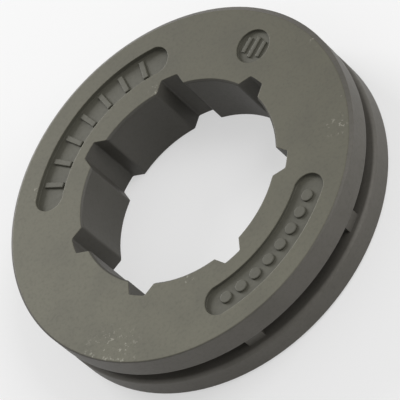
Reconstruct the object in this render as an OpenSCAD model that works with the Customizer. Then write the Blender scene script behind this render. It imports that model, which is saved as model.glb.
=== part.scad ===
// Rim sprocket of a chainsaw: one solid ring that slides on a splined clutch hub.
// The bore axis is +Z, the back face lies on z = 0 and the marked face looks up.
// One spline slot is centred on +Y.

/* [Rim] */
// Outside diameter of both flanges, where the side links of the chain ride
rim_d = 40; // [38:0.5:44]
// Thickness of the ring from the back face to the marked face
rim_t = 7.4; // [7:0.1:9]
// Thickness of the back flange
back_flange_t = 2.75; // [2.2:0.05:3.2]
// Width of the chain groove between the two flanges
groove_w = 1.6; // [1.3:0.05:2]

/* [Chain teeth] */
// Number of teeth that cross the groove
teeth = 8; // [7:1:9]
// How far the tooth tips stay below the outside of the flanges
tip_drop = 0.8; // [0.5:0.05:1.2]
// Width of a tooth across its tip
tip_w = 2; // [1.4:0.1:2.6]
// Depth of the pockets between the teeth, from the outside of the flanges
pocket_depth = 5.2; // [4.4:0.1:5.6]
// Radius of the hollow flank on each side of a tooth
flank_r = 4.2; // [3.4:0.1:4.6]
// Turn of the first tooth from +X
tooth_turn = 15; // [0:0.5:45]

/* [Spline bore] */
// Number of slots in the bore
slots = 7; // [6:1:8]
// Diameter across the lands between the slots
land_d = 22.6; // [21.6:0.1:23.4]
// Diameter across the bottoms of the slots
root_d = 25.5; // [25:0.1:26.2]
// Width of a slot across its bottom
slot_w = 1.92; // [1.6:0.04:2.4]
// Lean of each slot flank from the middle line of its slot
flank_lean = 25; // [15:1:30]
// Rounding in the two bottom corners of a slot
slot_fillet = 0.25; // [0.15:0.05:0.35]
// Rounding where a slot flank meets a land
land_round = 0.35; // [0.15:0.05:0.5]
// Lead-in turned on the lands at both faces
lead_in = 0.2; // [0.1:0.05:0.3]

/* [Edges] */
// Rounding of the two flange edges at the mouth of the groove
mouth_r = 0.4; // [0.2:0.05:0.5]
// Chamfer on the outer edge of the back face
back_chamfer = 0.25; // [0.1:0.05:0.5]
// Mean width of the bevel around the marked face
face_bevel = 0.36; // [0.3:0.02:0.7]
// How much wider than its mean the bevel runs on its wide side
bevel_runout = 0.26; // [0:0.02:0.28]
// Slope of the bevel down from the face
bevel_slope = 35; // [25:1:50]
// Direction of the wide side of the bevel, from +X
bevel_turn = 82; // [0:1:359]

/* [Face recesses] */
// Depth of the long recess
long_depth = 0.5; // [0.3:0.05:0.7]
// Width of the long recess at the face
long_w = 3.3; // [2.6:0.1:3.6]
// Place of the long recess across the face, 0 at the slot bottoms and 1 at the rim
long_place = 0.395; // [0.36:0.005:0.5]
// Direction in which the long recess starts, from +X to the centre of its round end
long_from = 96; // [92:0.5:110]
// Direction in which the long recess ends
long_to = 163.8; // [130:0.2:168]
// Depth of the short recess
short_depth = 0.35; // [0.25:0.05:0.7]
// Width of the short recess at the face
short_w = 3.36; // [2.6:0.04:3.6]
// Place of the short recess across the face, 0 at the slot bottoms and 1 at the rim
short_place = 0.462; // [0.4:0.002:0.52]
// Direction in which the short recess starts, from +X to the centre of its round end
short_from = -76.6; // [-90:0.2:-60]
// Direction in which the short recess ends
short_to = -26.5; // [-45:0.5:-15]
// Depth of the round recess
round_depth = 0.3; // [0.2:0.05:0.6]
// Diameter of the round recess at the face
round_d = 3.84; // [2.8:0.04:4]
// Place of the round recess across the face, 0 at the slot bottoms and 1 at the rim
round_place = 0.407; // [0.35:0.001:0.55]
// Direction of the round recess, from +X
round_turn = 50.9; // [30:0.1:70]

/* [Hidden] */
$fn = 144;
rim_r = rim_d / 2;
front_flange_z = back_flange_t + groove_w;
tip_r = rim_r - tip_drop;
floor_r = rim_r - pocket_depth;
land_r = land_d / 2;
root_r = root_d / 2;
face_band = rim_r - root_r;
core_r = (root_r + floor_r) / 2;
sink = 0.5;

// Angle from the middle of a tooth to the centre of its flank hollow.
// The hollow touches the pocket floor and passes through the tip corner.
hollow_r = floor_r + flank_r;
tip_half = asin(tip_w / 2 / tip_r);
hollow_turn = tip_half + acos((hollow_r ^ 2 + tip_r ^ 2 - flank_r ^ 2) / (2 * hollow_r * tip_r));
floor_half = 180 / teeth - hollow_turn;

// Slot flank as the line of points p with flank_n * p == flank_c, in a slot lying along +X.
flank_n = [sin(flank_lean), cos(flank_lean)];
bottom_corner = [sqrt(root_r ^ 2 - (slot_w / 2) ^ 2), slot_w / 2];
flank_c = flank_n * bottom_corner;

function polar(r, a) = [r * cos(a), r * sin(a)];
function on_flank(r) = polar(r, asin(flank_c / r) - flank_lean);

// Centres of the two small circles that round the ends of a flank
land_c = polar(land_r + land_round, asin((flank_c + land_round) / (land_r + land_round)) - flank_lean);
fillet_c = polar(root_r - slot_fillet, asin((flank_c - slot_fillet) / (root_r - slot_fillet)) - flank_lean);

function place_r(place) = root_r + place * face_band;

// What a rounded corner takes away: the square corner outside a quarter circle
module corner_spandrel(r) {
    difference() {
        square(r + 0.1);
        circle(r);
    }
}

// Half section of the two flanges and the core that joins them
module rim_section() {
    difference() {
        union() {
            square([rim_r, back_flange_t]);
            square([core_r, rim_t]);
            translate([0, front_flange_z]) square([rim_r, rim_t - front_flange_z]);
        }
        translate([rim_r - mouth_r, back_flange_t - mouth_r]) corner_spandrel(mouth_r);
        translate([rim_r - mouth_r, front_flange_z + mouth_r]) mirror([0, 1]) corner_spandrel(mouth_r);
        translate([rim_r - back_chamfer, 0]) rotate(45) translate([-1, -2]) square([4, 2]);
    }
}

// One pocket of the web, centred on +X: two flank hollows and the floor between them
module pocket() {
    far = 2 * rim_r;
    for (side = [-1, 1])
        translate(polar(hollow_r, side * floor_half)) circle(flank_r);
    difference() {
        polygon([[0, 0], polar(far, -floor_half), polar(far, floor_half)]);
        circle(floor_r);
    }
}

// Web with the teeth, seen along the bore
module web() {
    difference() {
        circle(tip_r);
        for (i = [0 : teeth - 1])
            rotate(tooth_turn + (i + 0.5) * 360 / teeth) pocket();
    }
}

// Sliver taken off the corner between a slot flank and a land
module land_corner() {
    flank_end = land_c - land_round * flank_n;
    land_end = land_c * land_r / (land_r + land_round);
    difference() {
        polygon([land_c, flank_end, 0.96 * on_flank(land_r), land_end]);
        translate(land_c) circle(land_round);
    }
}

// Metal left in the bottom corner of a slot
module bottom_fillet() {
    flank_end = fillet_c + slot_fillet * flank_n;
    difference() {
        polygon([fillet_c, flank_end, 1.04 * bottom_corner, 1.04 * fillet_c]);
        translate(fillet_c) circle(slot_fillet);
    }
}

// One slot of the bore, lying along +X
module slot() {
    inner = on_flank(land_r - 1);
    outer = on_flank(root_r + 0.5);
    difference() {
        intersection() {
            polygon([[inner.x, -inner.y], [outer.x, -outer.y], outer, inner]);
            circle(root_r);
        }
        bottom_fillet();
        mirror([0, 1]) bottom_fillet();
    }
    land_corner();
    mirror([0, 1]) land_corner();
}

// Outline of the splined bore
module bore_outline() {
    circle(land_r);
    for (i = [0 : slots - 1])
        rotate(90 + i * 360 / slots) slot();
}

// Cone that breaks the land edges at the mouth of the bore, widest on z = 0
module lead_in_cone() {
    translate([0, 0, -1]) cylinder(h = 1 + lead_in, r1 = land_r + lead_in + 1, r2 = land_r);
}

// Ring cut off around the marked face. Its axis is a little off the bore's, so the bevel runs out.
module face_bevel_cut() {
    reach = 2;
    drop = reach * tan(bevel_slope);
    cone_r = rim_r - face_bevel;
    translate(concat(polar(-bevel_runout, bevel_turn), rim_t - drop))
        difference() {
            cylinder(h = 2 * drop, r = rim_r + reach);
            cylinder(h = 2 * drop, r1 = cone_r + reach, r2 = cone_r - reach);
        }
}

// Outline of a recess that follows the face from one angle to another, with round ends.
// The ends are a touch wider than the recess, so that they cross its long walls cleanly.
module arc_outline(r, half_w, from, to) {
    far = 2 * rim_r;
    intersection() {
        difference() {
            circle(r + half_w);
            circle(r - half_w);
        }
        union() {
            polygon([[0, 0], polar(far, from), polar(far, (from + to) / 2), polar(far, to)]);
            for (end = [from, to])
                translate(polar(r, end)) circle(1.02 * half_w);
        }
    }
}

// Cuts an outline into the marked face to a given depth
module sunk_in_face(depth) {
    translate([0, 0, rim_t - depth]) linear_extrude(depth + 1) children();
}

module rim_sprocket() {
    color([0.41, 0.4, 0.35])
        difference() {
            union() {
                rotate_extrude() rim_section();
                translate([0, 0, back_flange_t - sink]) linear_extrude(groove_w + 2 * sink) web();
            }
            translate([0, 0, -1]) linear_extrude(rim_t + 2) bore_outline();
            lead_in_cone();
            translate([0, 0, rim_t]) mirror([0, 0, 1]) lead_in_cone();
            face_bevel_cut();
            sunk_in_face(long_depth)
                arc_outline(place_r(long_place), long_w / 2, long_from, long_to);
            sunk_in_face(short_depth)
                arc_outline(place_r(short_place), short_w / 2, short_from, short_to);
            sunk_in_face(round_depth)
                translate(polar(place_r(round_place), round_turn)) circle(round_d / 2);
        }
}

rim_sprocket();
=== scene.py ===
import math
import bmesh
import bpy
from mathutils import Matrix, Vector


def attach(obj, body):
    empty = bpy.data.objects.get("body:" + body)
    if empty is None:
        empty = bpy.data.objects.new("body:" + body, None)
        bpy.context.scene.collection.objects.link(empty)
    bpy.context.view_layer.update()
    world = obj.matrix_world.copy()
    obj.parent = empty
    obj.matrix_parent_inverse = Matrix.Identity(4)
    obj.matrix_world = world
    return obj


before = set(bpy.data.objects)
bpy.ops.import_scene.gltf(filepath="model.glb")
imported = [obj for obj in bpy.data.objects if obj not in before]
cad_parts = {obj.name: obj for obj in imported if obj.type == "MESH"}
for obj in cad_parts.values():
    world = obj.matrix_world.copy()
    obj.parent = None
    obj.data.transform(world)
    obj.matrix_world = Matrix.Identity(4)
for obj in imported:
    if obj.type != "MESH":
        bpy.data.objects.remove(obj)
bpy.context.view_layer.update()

mm = 0.001
print("loaded the rim sprocket")


# A wire is one socket of a material. Sums on wires add their own Math nodes.
class Wire:
    def __init__(self, tree, socket):
        self.tree = tree
        self.socket = socket

    def node(self, kind, settings, sockets, output=0):
        made = self.tree.nodes.new(kind)
        for name, value in settings.items():
            setattr(made, name, value)
        for name, value in sockets.items():
            if isinstance(value, Wire):
                self.tree.links.new(value.socket, made.inputs[name])
            else:
                made.inputs[name].default_value = value
        return Wire(self.tree, made.outputs[output])

    def maths(self, operation, first, second=0.0):
        return self.node("ShaderNodeMath", {"operation": operation}, {0: first, 1: second})

    def __add__(self, other):
        return self.maths("ADD", self, other)

    def __radd__(self, other):
        return self.maths("ADD", other, self)

    def __sub__(self, other):
        return self.maths("SUBTRACT", self, other)

    def __rsub__(self, other):
        return self.maths("SUBTRACT", other, self)

    def __mul__(self, other):
        return self.maths("MULTIPLY", self, other)

    def __rmul__(self, other):
        return self.maths("MULTIPLY", other, self)

    def __pow__(self, other):
        return self.maths("POWER", self, other)

    # 0 below the first value, 1 above the second, and a soft step between them
    def rise(self, low, high):
        return self.node("ShaderNodeMapRange", {"interpolation_type": "SMOOTHSTEP"},
                         {0: self, 1: low, 2: high, 3: 0.0, 4: 1.0})

    def band(self, low, high, soft):
        return self.rise(low, low + soft) * (1 - self.rise(high - soft, high))


def newMaterial(name):
    material = bpy.data.materials.new(name)
    material.use_nodes = True
    material.node_tree.nodes.clear()
    return material, Wire(material.node_tree, None)


def finishMaterial(start, shader):
    output = start.tree.nodes.new("ShaderNodeOutputMaterial")
    start.tree.links.new(shader.socket, output.inputs[0])


# The steel: sintered, steam blued to a dark olive grey, with light wear where it has been handled.
# Lengths are in metres and colours are linear.
steel = {
    # The two face colours are painted shade and painted light, the ends of a ramp across the face that stands
    # in for light falling off
    "facePaintedShade": (0.098, 0.093, 0.066, 1),
    "facePaintedLight": (0.130, 0.125, 0.092, 1),
    "side": (0.110, 0.103, 0.090, 1),
    "bore": (0.084, 0.080, 0.070, 1),
    "recess": (0.098, 0.095, 0.074, 1),
    "shade": (0.060, 0.057, 0.046, 1),
    "worn": (0.300, 0.290, 0.240, 1),
    "metallic": 0.2,
    "specular": 0.35,
    "roughness": 0.55,
    "mottleSize": 4.5 * mm,
    "grainSize": 0.35 * mm,
    "faceZ": 7.4 * mm,
    "boreR": 12.78 * mm,
    "recessR": 17.8 * mm,
    "rimR": 20 * mm,
    "edgeRound": 0.12 * mm,
    # The direction of the painted light and shade ramp across the face
    "paintedShadeTurn": math.radians(72),
}
# Small marks on the marked face, as (x, y, radius)
nicks = {
    "topRim": (16.5 * mm, 9.6 * mm, 1.0 * mm),
    "rightRim": (18.8 * mm, 2.1 * mm, 0.5 * mm),
    "rightSpecks": (18.2 * mm, -1.3 * mm, 1.7 * mm),
    "nearBore": (0.5 * mm, -12.0 * mm, 0.9 * mm),
    "recessEnd": (-16.1 * mm, 5.4 * mm, 1.4 * mm),
    "slotSide": (-1.9 * mm, 11.9 * mm, 0.8 * mm),
    "nearRim": (-9.0 * mm, -17.0 * mm, 4.2 * mm),
}


def makeSteel():
    material, start = newMaterial("blued_steel")
    place = start.node("ShaderNodeTexCoord", {}, {}, "Object")
    x = start.node("ShaderNodeSeparateXYZ", {}, {0: place}, "X")
    y = start.node("ShaderNodeSeparateXYZ", {}, {0: place}, "Y")
    z = start.node("ShaderNodeSeparateXYZ", {}, {0: place}, "Z")
    reach = (x * x + y * y) ** 0.5

    def noise(size, detail=3.0, rough=0.5, at=place):
        return start.node("ShaderNodeTexNoise", {}, {"Vector": at, "Scale": 1 / size, "Detail": detail, "Roughness": rough})

    def mix(mask, low, high):
        return start.node("ShaderNodeMix", {"data_type": "RGBA"}, {0: mask, 6: low, 7: high}, 2)

    # Where each surface lies
    face = z.rise(steel["faceZ"] - 0.03 * mm, steel["faceZ"] - 0.01 * mm)
    bore = (1 - reach.rise(steel["boreR"], steel["boreR"] + 0.02 * mm)) * (1 - face)
    recess = reach.band(13 * mm, steel["recessR"], 0.02 * mm) * z.band(6.5 * mm, 7.38 * mm, 0.01 * mm)

    mottle = noise(steel["mottleSize"], 4)
    grain = noise(steel["grainSize"], 4, 0.6)
    # The patina grows darker towards one side, most of all along the rim there
    # Painted light and shade: the face is painted lighter on one side and darker on the other, standing in for
    # light falling off across it
    far = x * math.cos(steel["paintedShadeTurn"]) + y * math.sin(steel["paintedShadeTurn"])
    paintedFaceShading = mix(far.rise(-1.1 * steel["rimR"], 1.1 * steel["rimR"]), steel["facePaintedLight"], steel["facePaintedShade"])
    colour = mix(bore, mix(face, steel["side"], paintedFaceShading), steel["bore"])
    colour = mix(recess, colour, steel["recess"])
    colour = mix((mottle.rise(0.35, 0.75) * 0.25) + (grain.rise(0.45, 0.75) * 0.22), colour, steel["shade"])

    # Light wear: the small nicks and the near edge of the rim
    scratch = noise(0.45 * mm, 3, 0.65)
    wear = None
    for spotX, spotY, size in nicks.values():
        away = ((x - spotX) * (x - spotX) + (y - spotY) * (y - spotY)) ** 0.5
        spot = (1 - away.rise(size * 0.4, size)) * scratch.rise(0.56, 0.68)
        wear = spot if wear is None else wear + spot
    wear = wear * face
    colour = mix(wear.node("ShaderNodeClamp", {}, {0: wear}) * 0.75, colour, steel["worn"])

    bump = grain * 0.6 + mottle * 0.4
    rounded = start.node("ShaderNodeBevel", {"samples": 6}, {"Radius": steel["edgeRound"]})
    normal = start.node("ShaderNodeBump", {}, {"Strength": 0.25, "Distance": 0.02 * mm, "Height": bump, "Normal": rounded})
    shader = start.node("ShaderNodeBsdfPrincipled", {}, {
        "Base Color": colour,
        "Metallic": steel["metallic"],
        "Specular IOR Level": steel["specular"],
        "Roughness": steel["roughness"] + (grain - 0.5) * 0.15,
        "Normal": normal,
    })
    finishMaterial(start, shader)
    return material


steelFinish = makeSteel()
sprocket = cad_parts["rim_sprocket"]
for slot in sprocket.material_slots:
    slot.material = steelFinish
print("finished the steel")


# Low raised marks in the three recesses: a bar for each slot of the bore, a pip for each tooth.
# Angles are in degrees from +X.
longBars = {
    "count": 7,
    "from": 101.5,
    "to": 158.3,
    "radius": 15.61 * mm,
    "length": 2.3 * mm,
    "width": 0.62 * mm,
    "floor": 6.9 * mm,
    "top": 7.12 * mm,
    "edge": 0.07 * mm,
}
shortPips = {
    "count": 8,
    "from": -74.5,
    "to": -28.6,
    "radius": 16.1 * mm,
    "width": 1.3 * mm,
    "floor": 7.05 * mm,
    "top": 7.23 * mm,
    "edge": 0.07 * mm,
}
roundBars = {
    "count": 3,
    "turn": 50.9,
    "radius": 15.7 * mm,
    "gap": 0.95 * mm,
    "length": 2.4 * mm,
    "shorter": 0.6 * mm,
    "width": 0.45 * mm,
    "floor": 7.1 * mm,
    "top": 7.26 * mm,
    "edge": 0.06 * mm,
}


def finishPiece(name, mesh):
    bmesh.ops.recalc_face_normals(mesh, faces=mesh.faces)
    data = bpy.data.meshes.new(name)
    mesh.to_mesh(data)
    mesh.free()
    piece = bpy.data.objects.new(name, data)
    bpy.context.scene.collection.objects.link(piece)
    data.materials.append(steelFinish)
    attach(piece, "root")
    return piece


# A block that rises from a recess floor, lying along +X before it is put in place
def addBlock(mesh, size, length, width, place):
    low = size["floor"] - 0.05 * mm
    tall = size["top"] - low
    shape = Matrix.Translation((0, 0, low + tall / 2)) @ Matrix.Diagonal((length, width, tall, 1))
    bmesh.ops.create_cube(mesh, size=1, matrix=place @ shape)


# Rounds every edge except those around the foot, which are below the recess floor
def roundBlocks(mesh, size):
    edges = [e for e in mesh.edges if any(v.co.z > size["floor"] for v in e.verts) and e.calc_face_angle() > 1]
    bmesh.ops.bevel(mesh, geom=edges, offset=size["edge"], segments=3, profile=0.5, affect="EDGES", material=-1)


def around(size, i):
    step = (size["to"] - size["from"]) / (size["count"] - 1)
    turn = Matrix.Rotation(math.radians(size["from"] + i * step), 4, "Z")
    return turn @ Matrix.Translation((size["radius"], 0, 0))


def makeLongBars():
    mesh = bmesh.new()
    for i in range(longBars["count"]):
        addBlock(mesh, longBars, longBars["length"], longBars["width"], around(longBars, i))
    roundBlocks(mesh, longBars)
    return finishPiece("long_recess_bars", mesh)


def makeShortPips():
    mesh = bmesh.new()
    low = shortPips["floor"] - 0.05 * mm
    tall = shortPips["top"] - low
    for i in range(shortPips["count"]):
        place = around(shortPips, i) @ Matrix.Translation((0, 0, low + tall / 2))
        bmesh.ops.create_cone(mesh, cap_ends=True, segments=32, radius1=shortPips["width"] / 2,
                              radius2=shortPips["width"] / 2, depth=tall, matrix=place)
    roundBlocks(mesh, shortPips)
    return finishPiece("short_recess_pips", mesh)


def makeRoundBars():
    mesh = bmesh.new()
    turn = Matrix.Rotation(math.radians(roundBars["turn"]), 4, "Z")
    for i in range(roundBars["count"]):
        row = i - (roundBars["count"] - 1) / 2
        length = roundBars["length"] - abs(row) * roundBars["shorter"]
        place = turn @ Matrix.Translation((roundBars["radius"], row * roundBars["gap"], 0))
        addBlock(mesh, roundBars, length, roundBars["width"], place)
    roundBlocks(mesh, roundBars)
    return finishPiece("round_recess_bars", mesh)


makeLongBars()
makeShortPips()
makeRoundBars()
print("raised the marks in the recesses")


# The floor is pale and keeps the shadow. It is whiter to the camera than to the steel.
studio = {
    "floorSize": 2.0,
    "floorColour": (0.85, 0.85, 0.85, 1),
    "glow": 0.5,
    "world": 0.48,
}


def makeFloor():
    mesh = bmesh.new()
    bmesh.ops.create_grid(mesh, x_segments=1, y_segments=1, size=studio["floorSize"] / 2)
    data = bpy.data.meshes.new("floor")
    mesh.to_mesh(data)
    mesh.free()
    floor = bpy.data.objects.new("floor", data)
    bpy.context.scene.collection.objects.link(floor)
    material, start = newMaterial("pale_floor")
    matte = start.node("ShaderNodeBsdfDiffuse", {}, {"Color": studio["floorColour"]})
    white = start.node("ShaderNodeEmission", {}, {"Color": (1, 1, 1, 1), "Strength": 1.0})
    seen = start.node("ShaderNodeLightPath", {}, {}, "Is Camera Ray")
    glossy = start.node("ShaderNodeLightPath", {}, {}, "Is Glossy Ray")
    through = start.node("ShaderNodeLightPath", {}, {}, "Is Transmission Ray")
    share = (seen + glossy + through) * studio["glow"]
    finishMaterial(start, start.node("ShaderNodeMixShader", {}, {0: share, 1: matte, 2: white}))
    data.materials.append(material)


def makeWorld():
    world = bpy.data.worlds.new("studio")
    world.use_nodes = True
    bpy.context.scene.world = world
    world.node_tree.nodes.clear()
    start = Wire(world.node_tree, None)
    seen = start.node("ShaderNodeLightPath", {}, {}, "Is Camera Ray")
    strength = studio["world"] + seen * (1 - studio["world"])
    sky = start.node("ShaderNodeBackground", {}, {"Color": (1, 1, 1, 1), "Strength": strength})
    output = world.node_tree.nodes.new("ShaderNodeOutputWorld")
    world.node_tree.links.new(sky.socket, output.inputs[0])


# Soft boxes, all turned to the middle of the part: directions in degrees, size in metres, power in watts
lamps = {
    "behind": {"azimuth": 135, "elevation": 20, "distance": 0.45, "size": 0.2, "power": 1.5},
    "side": {"azimuth": 0, "elevation": 20, "distance": 0.45, "size": 0.2, "power": 0.52},
    "above": {"azimuth": 20, "elevation": 50, "distance": 0.45, "size": 0.2, "power": 0.52},
}


def makeLamps():
    for name, lamp in lamps.items():
        data = bpy.data.lights.new(name, "AREA")
        data.shape = "SQUARE"
        data.size = lamp["size"]
        data.energy = lamp["power"]
        light = bpy.data.objects.new(name, data)
        bpy.context.scene.collection.objects.link(light)
        azimuth, elevation = math.radians(lamp["azimuth"]), math.radians(lamp["elevation"])
        out = Vector((math.cos(azimuth) * math.cos(elevation), math.sin(azimuth) * math.cos(elevation), math.sin(elevation)))
        light.location = out * lamp["distance"]
        light.rotation_euler = (-out).to_track_quat("-Z", "Y").to_euler()


# The photograph's viewing angle: a long lens, rolled so that the part leans
view = {
    "azimuth": 35.104,
    "elevation": 45.832,
    "roll": -49.031,
    "distance": 0.3550,
    "aim": (0.372 * mm, -0.518 * mm, 3.7 * mm),
    "lens": 320.06,
}


def makeCamera():
    data = bpy.data.cameras.new("camera")
    data.sensor_width = 36
    data.lens = view["lens"]
    data.clip_start = 0.01
    data.clip_end = 10
    camera = bpy.data.objects.new("camera", data)
    bpy.context.scene.collection.objects.link(camera)
    azimuth, elevation = math.radians(view["azimuth"]), math.radians(view["elevation"])
    back = Vector((math.sin(azimuth) * math.cos(elevation), -math.cos(azimuth) * math.cos(elevation), math.sin(elevation)))
    level = (-back).to_track_quat("-Z", "Y").to_matrix().to_4x4()
    roll = Matrix.Rotation(math.radians(view["roll"]), 4, "Z")
    camera.matrix_world = Matrix.Translation(Vector(view["aim"]) + back * view["distance"]) @ level @ roll
    bpy.context.scene.camera = camera


makeFloor()
makeWorld()
makeLamps()
makeCamera()
bpy.context.scene.view_settings.view_transform = "Standard"
print("set the studio")
